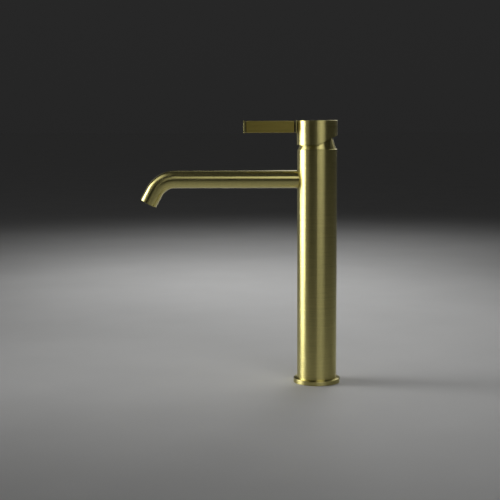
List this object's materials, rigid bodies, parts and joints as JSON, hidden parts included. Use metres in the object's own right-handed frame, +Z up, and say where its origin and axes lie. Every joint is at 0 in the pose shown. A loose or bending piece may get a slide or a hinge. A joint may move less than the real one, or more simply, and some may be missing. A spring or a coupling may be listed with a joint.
{
  "type": "basin mixer faucet",
  "caption": "Tall basin mixer with a round column on a thin base ring, a side spout bent down at its end, and a cap with a flat lever that lifts for flow and turns for heat.",
  "frame": {"origin": "on the worktop, at the middle of the base ring's underside", "axes": "+Z up along the column; the spout and the closed lever point along -Y; X = 0 is the plane of symmetry, with hot at -X"},
  "size_m": [0.054, 0.2275, 0.353],
  "materials": {
    "brushed_gold": "finely brushed, gold tone coating",
    "ruled_gold": "fine lengthwise lines, gold tone coating",
    "plain_brass": "machined",
    "plain_steel": "zinc plated",
    "disc_ceramic": "lapped",
    "grey_plastic": "moulded",
    "white_plastic": "moulded",
    "dark_plastic": "moulded",
    "black_rubber": "moulded"
  },
  "bodies": {
    "mixer_body": {"column": "brushed_gold", "base_ring": "brushed_gold", "spout_tube": "brushed_gold", "collar": "brushed_gold", "valve_seat": "plain_brass", "spout_nipple": "plain_brass", "base_insert": "plain_brass", "cartridge_nut": "plain_brass", "clamp_nut": "plain_brass", "mounting_stud": "plain_steel", "clamp_plate": "plain_steel", "aerator_screen": "plain_steel", "fixed_disc": "disc_ceramic", "cartridge_base": "grey_plastic", "cartridge_housing": "grey_plastic", "aerator_housing": "dark_plastic", "aerator_grid": "dark_plastic", "aerator_regulator": "dark_plastic", "base_seal": "black_rubber", "clamp_rubber": "black_rubber", "nipple_seals": "black_rubber", "aerator_seal": "black_rubber", "cartridge_seals": "black_rubber"},
    "rotor": {"cartridge_rotor": "white_plastic", "rotor_seal": "black_rubber", "pivot_pin": "plain_steel"},
    "handle": {"cartridge_stem": "plain_brass", "handle_cap": "brushed_gold", "set_screw": "plain_steel", "screw_plug": "brushed_gold", "lever_bar": "brushed_gold", "lever_grip": "ruled_gold", "lever_tip": "brushed_gold"},
    "disc": {"moving_disc": "disc_ceramic", "disc_carrier": "white_plastic"}
  },
  "joints": [
    {"name": "handle_turn", "type": "hinge", "parent": "mixer_body", "child": "rotor", "pos_m": [0, 0, 0.2665], "axis": [0, 0, 1], "range_deg": [-50, 50]},
    {"name": "handle_lift", "type": "hinge", "parent": "rotor", "child": "handle", "pos_m": [0, 0, 0.2665], "axis": [-1, 0, 0], "range_deg": [0, 25]},
    {"name": "disc_slide", "type": "slide", "parent": "rotor", "child": "disc", "axis": [0, -1, 0], "range_m": [0, 0.0044]}
  ],
  "couplings": [
    {"joint": "disc_slide", "follows": "handle_lift", "m_per_rad": 0.010073}
  ]
}
